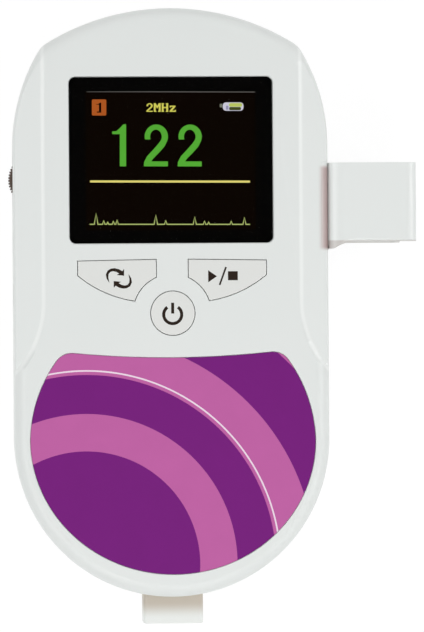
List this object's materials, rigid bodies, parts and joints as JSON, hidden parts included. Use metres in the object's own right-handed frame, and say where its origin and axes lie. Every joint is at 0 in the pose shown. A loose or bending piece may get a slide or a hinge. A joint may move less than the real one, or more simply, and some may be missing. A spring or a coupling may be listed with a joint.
{
  "type": "fetal doppler",
  "caption": "Pocket ultrasound heart-rate monitor: long housing with a half-round foot, colour screen, push keys, thumb wheel, sliding battery door, probe socket and side clip for the probe.",
  "frame": {"origin": "centre of the flat back that the unit lies on, between the battery door and the loudspeaker's grille", "axes": "+Z out of the screen, +Y along the unit from the probe socket to the crown above the screen, +X to the side with the probe clip"},
  "size_m": [0.0984, 0.1489, 0.0292],
  "materials": {
    "housing_white": "satin",
    "key_white": "satin",
    "window_black": "gloss",
    "display_black": "gloss",
    "frame_black": "matte",
    "label_film": "printed, satin",
    "switch_black": "matte",
    "board_green": "solder mask",
    "screw_steel": "zinc plated",
    "battery_sleeve": "shrink sleeve",
    "contact_gold": "plated",
    "wheel_rubber": "knurled",
    "nylon_black": "satin",
    "foam": "foam",
    "speaker_steel": "pressed",
    "cone_paper": "coated",
    "magnet": "plated"
  },
  "bodies": {
    "housing": {"front_cover": "housing_white", "back_cover": "housing_white", "probe_port": "housing_white", "probe_clip": "housing_white", "display_window": "window_black", "display_module": "display_black", "display_frame": "frame_black", "face_label": "label_film", "mode_switch": "switch_black", "play_switch": "switch_black", "power_switch": "switch_black", "main_board": "board_green", "board_screw_1": "screw_steel", "board_screw_2": "screw_steel", "board_screw_3": "screw_steel", "housing_screw_1": "screw_steel", "housing_screw_2": "screw_steel", "housing_screw_3": "screw_steel", "housing_screw_4": "screw_steel", "clip_screw_1": "screw_steel", "clip_screw_2": "screw_steel", "wheel_screw": "screw_steel", "battery_pack": "battery_sleeve", "contact_block": "nylon_black", "battery_contact_1": "contact_gold", "battery_contact_2": "contact_gold", "battery_contact_3": "contact_gold", "volume_pot": "nylon_black", "earphone_socket": "nylon_black", "charge_socket": "nylon_black", "speaker_gasket": "foam", "speaker_basket": "speaker_steel", "speaker_cone": "cone_paper", "speaker_magnet": "magnet", "port_insert": "nylon_black", "port_contact_1": "contact_gold", "port_contact_2": "contact_gold", "port_contact_3": "contact_gold", "port_contact_4": "contact_gold", "port_contact_5": "contact_gold", "port_contact_6": "contact_gold"},
    "mode_key": {"mode_key": "key_white", "mode_plunger": "switch_black"},
    "play_key": {"play_key": "key_white", "play_plunger": "switch_black"},
    "power_key": {"power_key": "key_white", "power_plunger": "switch_black"},
    "volume_wheel": {"volume_wheel": "wheel_rubber"},
    "battery_door": {"battery_door": "housing_white"}
  },
  "joints": [
    {"name": "mode_key_press", "type": "slide", "parent": "housing", "child": "mode_key", "axis": [0, 0, -1], "range_m": [0, 0.00035], "stiffness_N_per_m": 300},
    {"name": "play_key_press", "type": "slide", "parent": "housing", "child": "play_key", "axis": [0, 0, -1], "range_m": [0, 0.00035], "stiffness_N_per_m": 300},
    {"name": "power_key_press", "type": "slide", "parent": "housing", "child": "power_key", "axis": [0, 0, -1], "range_m": [0, 0.00035], "stiffness_N_per_m": 300},
    {"name": "volume_wheel_turn", "type": "hinge", "parent": "housing", "child": "volume_wheel", "pos_m": [-0.03265, 0.03005, 0.0147], "axis": [0, 0, 1], "range_deg": [-135, 135]},
    {"name": "battery_door_slide", "type": "slide", "parent": "housing", "child": "battery_door", "axis": [0, -1, 0], "range_m": [0, 0.006]}
  ]
}
